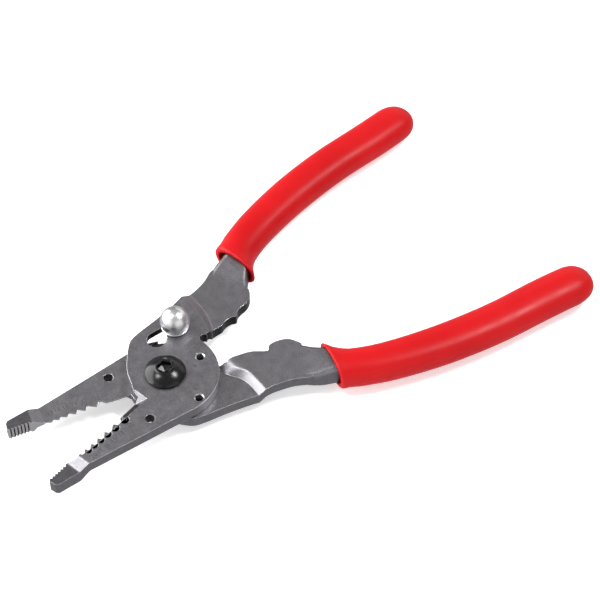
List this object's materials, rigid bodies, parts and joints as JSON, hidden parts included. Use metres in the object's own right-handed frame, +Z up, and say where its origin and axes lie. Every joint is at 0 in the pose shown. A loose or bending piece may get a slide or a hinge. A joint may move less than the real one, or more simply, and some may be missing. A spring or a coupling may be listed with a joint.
{
  "type": "wire stripper",
  "caption": "Plier-style wire stripper with gripping noses, graded stripping notches, cutter, crimping gap, sliding lock with a ball knob and red vinyl grips.",
  "frame": {"origin": "on the pivot axis, in the plane of the pivot screw's flat end and the pivot nut's lower face, on which the tool rests", "axes": "+X from the pivot towards the handles, +Z up along the pivot axis towards the screw's head, +Y towards the front half's handle"},
  "size_m": [0.1912, 0.1104, 0.019],
  "materials": {
    "tool_steel": "satin, tumbled and ground, grey",
    "red_vinyl": "smooth dipped vinyl, softly glossy, red",
    "black_oxide": "black oxide, semi-gloss",
    "bronze": "sintered bronze, dull",
    "spring_steel": "drawn wire, satin",
    "chrome": "polished chrome plate"
  },
  "bodies": {
    "rear": {"rear_half": "tool_steel", "rear_grip": "red_vinyl", "pivot_screw": "black_oxide", "pivot_bush": "bronze", "pivot_nut": "black_oxide", "return_spring": "spring_steel"},
    "front": {"front_half": "tool_steel", "front_grip": "red_vinyl"},
    "lock": {"lock_stud": "spring_steel", "lock_wave_washer": "spring_steel", "lock_collar": "chrome", "lock_ball": "chrome"}
  },
  "joints": [
    {"name": "jaw_pivot", "type": "hinge", "parent": "rear", "child": "front", "pos_m": [0, 0, 0.0069], "axis": [0, 0, 1], "range_deg": [-25, 0], "stiffness_Nm_per_rad": 0.3, "springref_deg": 28.65},
    {"name": "lock_slide", "type": "slide", "parent": "front", "child": "lock", "axis": [-1, 0, 0], "range_m": [0, 0.008]}
  ]
}
